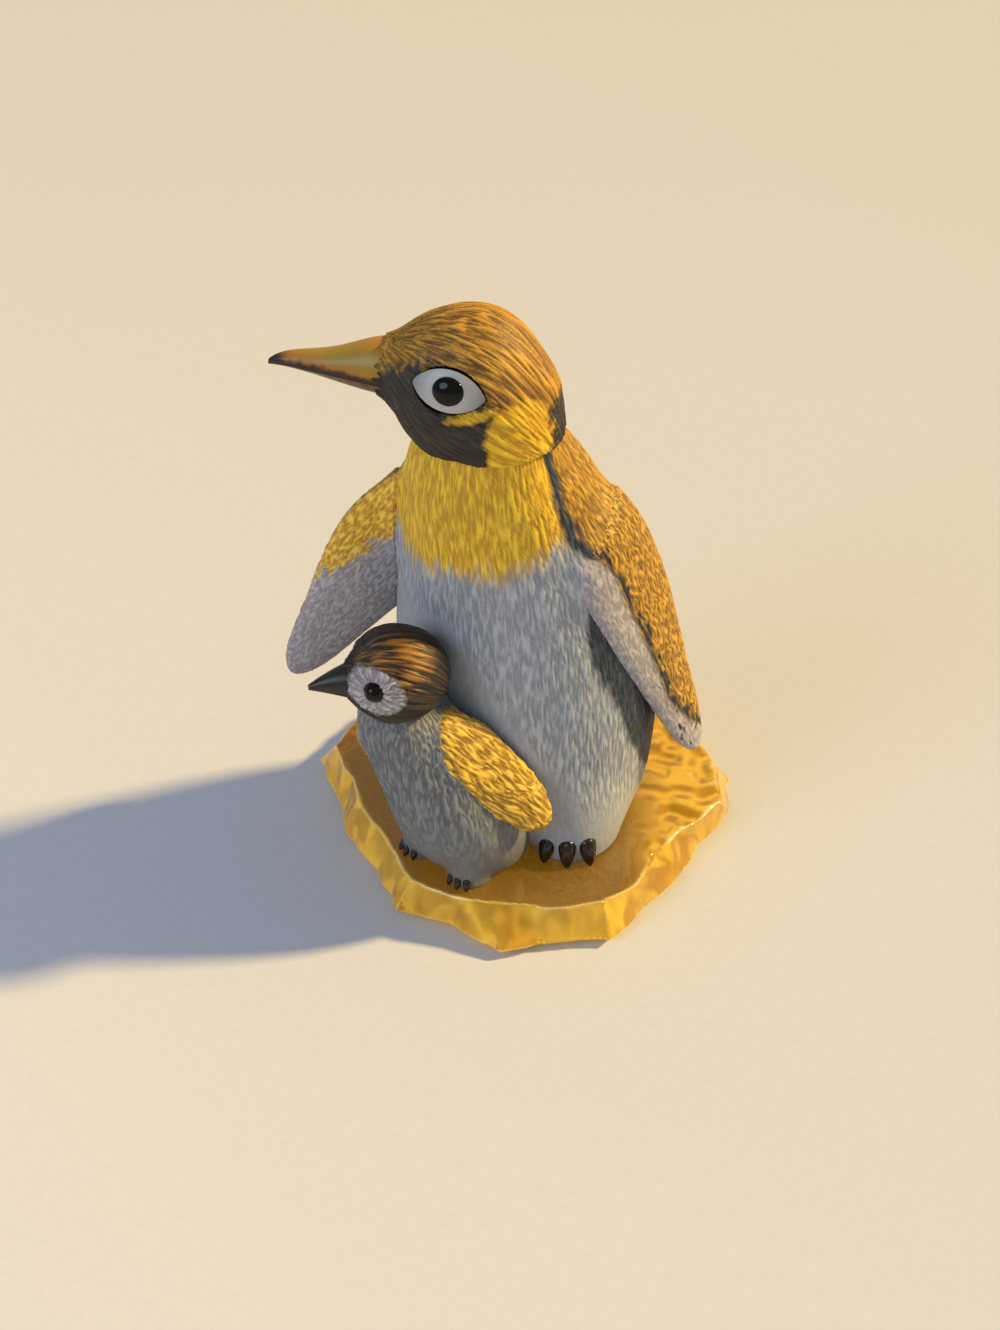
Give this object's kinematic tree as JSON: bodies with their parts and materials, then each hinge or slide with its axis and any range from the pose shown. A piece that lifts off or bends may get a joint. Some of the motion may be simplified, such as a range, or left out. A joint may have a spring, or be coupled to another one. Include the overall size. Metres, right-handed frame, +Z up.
{
  "type": "penguin figurine",
  "caption": "Painted figurine of an adult penguin with its head turned and a chick against its belly, standing on a clear slab with a chipped rim; a shelf ornament.",
  "frame": {"origin": "middle of the slab's flat underside, where the figurine rests on a shelf", "axes": "+Z up, -Y the way the adult's breast faces, +X to the adult's left"},
  "size_m": [0.0585, 0.0572, 0.0759],
  "materials": {
    "floe_resin": "clear honey-tinted resin, moulded facets",
    "adult_plumage": "white painted feather relief, yellow neck, slate back",
    "adult_mask": "black painted feather relief with yellow ear patches",
    "adult_bill": "black satin paint",
    "eye_white": "white satin paint",
    "eye_bead": "black gloss",
    "adult_flipper": "slate painted feather relief, pale inner face",
    "adult_foot": "smooth white paint, black gloss claws",
    "chick_down": "grey painted down relief",
    "chick_cap": "black painted cap, white face",
    "chick_bill": "black satin paint",
    "chick_foot": "smooth pale paint, black gloss claws"
  },
  "bodies": {
    "root": {"ice_floe": "floe_resin", "adult_body": "adult_plumage", "adult_head": "adult_mask", "adult_upper_bill": "adult_bill", "adult_lower_bill": "adult_bill", "adult_left_eye": "eye_white", "adult_right_eye": "eye_white", "adult_left_pupil": "eye_bead", "adult_right_pupil": "eye_bead", "adult_left_flipper": "adult_flipper", "adult_right_flipper": "adult_flipper", "adult_left_foot": "adult_foot", "adult_right_foot": "adult_foot", "chick_body": "chick_down", "chick_head": "chick_cap", "chick_bill": "chick_bill", "chick_left_eye": "eye_bead", "chick_right_eye": "eye_bead", "chick_left_flipper": "chick_down", "chick_right_flipper": "chick_down", "chick_left_foot": "chick_foot", "chick_right_foot": "chick_foot"}
  },
  "joints": []
}
